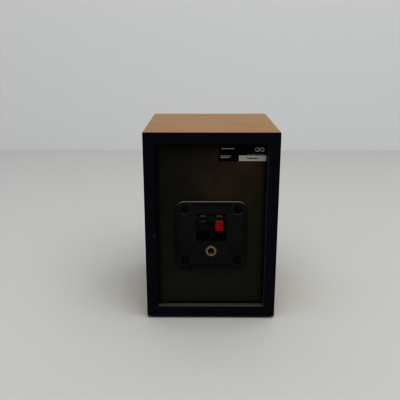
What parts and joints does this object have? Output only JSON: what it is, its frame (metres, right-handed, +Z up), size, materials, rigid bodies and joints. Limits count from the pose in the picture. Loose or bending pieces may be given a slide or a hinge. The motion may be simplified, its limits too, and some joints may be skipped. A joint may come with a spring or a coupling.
{
  "type": "bookshelf speaker",
  "caption": "Small sealed two-way bookshelf speaker with a wood-pattern cabinet, pull-off cloth grille and a recessed rear plate with sprung push terminals.",
  "frame": {"origin": "on the shelf, at the middle of the footprint of cabinet and grille", "axes": "+Z up, the grille faces -Y and the terminals face +Y, X across the speaker"},
  "size_m": [0.12, 0.1354, 0.1775],
  "materials": {
    "black_paint": "matt black paint on the board edges",
    "wood_vinyl": "satin wood-pattern vinyl",
    "baffle_paint": "matt black paint",
    "panel_board": "dark matt stained hardboard",
    "batten_wood": "raw pine",
    "rubber": "matt",
    "label_film": "printed film, satin",
    "sticker_paper": "matt paper",
    "terminal_plastic": "fine-textured moulded plastic",
    "lever_black": "satin moulded plastic",
    "lever_red": "satin moulded plastic",
    "foam": "closed-cell foam",
    "screw_black": "black zinc",
    "brass": "turned brass",
    "plain_steel": "zinc-plated",
    "ferrite": "ground ferrite",
    "trim_card": "black card",
    "cone_paper": "doped black paper",
    "spider_cloth": "resin-treated cloth",
    "former_foil": "foil",
    "copper": "enamelled copper",
    "tag_board": "phenolic board",
    "faceplate_plastic": "satin moulded plastic",
    "dome_silk": "coated silk",
    "capacitor_sleeve": "shrink sleeve",
    "glue": "hot-melt glue",
    "wire_red": "PVC insulation",
    "wire_black": "PVC insulation",
    "wadding": "polyester wadding",
    "grille_black": "moulded frame",
    "grille_cloth": "open-weave acoustic cloth"
  },
  "bodies": {
    "cabinet": {"top_board": "black_paint", "bottom_board": "black_paint", "left_side_board": "black_paint", "right_side_board": "black_paint", "veneer_wrap": "wood_vinyl", "front_baffle": "baffle_paint", "rear_panel": "panel_board", "front_battens": "batten_wood", "rear_battens": "batten_wood", "rubber_feet": "rubber", "woofer_surround": "rubber", "tweeter_surround": "rubber", "grille_sockets": "rubber", "rating_label": "label_film", "serial_sticker": "sticker_paper", "terminal_plate": "terminal_plastic", "terminal_housing": "terminal_plastic", "terminal_gasket": "foam", "terminal_plate_screws": "screw_black", "woofer_screws": "screw_black", "tweeter_screws": "screw_black", "wall_bracket_insert": "brass", "red_contact_spring": "brass", "black_contact_spring": "brass", "terminal_tags": "brass", "tweeter_tags": "brass", "lever_hinge_rod": "plain_steel", "insert_nut": "plain_steel", "woofer_basket": "plain_steel", "woofer_top_plate": "plain_steel", "woofer_pole_yoke": "plain_steel", "tweeter_top_plate": "plain_steel", "tweeter_pole_yoke": "plain_steel", "woofer_magnet": "ferrite", "tweeter_magnet": "ferrite", "woofer_gasket": "trim_card", "woofer_spider": "spider_cloth", "woofer_tinsel_leads": "copper", "woofer_tag_strip": "tag_board", "tweeter_faceplate": "faceplate_plastic", "crossover_capacitor": "capacitor_sleeve", "capacitor_glue_pad": "glue", "woofer_wire_red": "wire_red", "tweeter_wire_red": "wire_red", "woofer_wire_black": "wire_black", "tweeter_wire_black": "wire_black", "damping_wadding": "wadding"},
    "red_lever": {"red_lever": "lever_red"},
    "black_lever": {"black_lever": "lever_black"},
    "woofer_cone_assembly": {"woofer_cone": "cone_paper", "woofer_dust_cap": "cone_paper", "voice_coil_former": "former_foil", "voice_coil": "copper"},
    "tweeter_diaphragm": {"tweeter_dome": "dome_silk", "tweeter_voice_coil": "copper"},
    "grille": {"grille_frame": "grille_black", "grille_cloth": "grille_cloth", "grille_pegs": "grille_black"}
  },
  "joints": [
    {"name": "red_lever_hinge", "type": "hinge", "parent": "cabinet", "child": "red_lever", "pos_m": [-0.0075, 0.0605, 0.0988], "axis": [-1, 0, 0], "range_deg": [0, 18], "stiffness_Nm_per_rad": 0.12, "springref_deg": -11.46, "deforming": ["red_contact_spring"]},
    {"name": "black_lever_hinge", "type": "hinge", "parent": "cabinet", "child": "black_lever", "pos_m": [0.0075, 0.0605, 0.0988], "axis": [-1, 0, 0], "range_deg": [0, 18], "stiffness_Nm_per_rad": 0.12, "springref_deg": -11.46, "deforming": ["black_contact_spring"]},
    {"name": "woofer_cone_slide", "type": "slide", "parent": "cabinet", "child": "woofer_cone_assembly", "axis": [0, -1, 0], "range_m": [-0.002, 0.002], "stiffness_N_per_m": 900, "deforming": ["woofer_surround", "woofer_spider", "woofer_tinsel_leads"]},
    {"name": "tweeter_dome_slide", "type": "slide", "parent": "cabinet", "child": "tweeter_diaphragm", "axis": [0, -1, 0], "range_m": [-0.0003, 0.0003], "stiffness_N_per_m": 1000, "deforming": ["tweeter_surround"]},
    {"name": "grille_pull_off", "type": "slide", "parent": "cabinet", "child": "grille", "axis": [0, -1, 0], "range_m": [0, 0.03]}
  ]
}
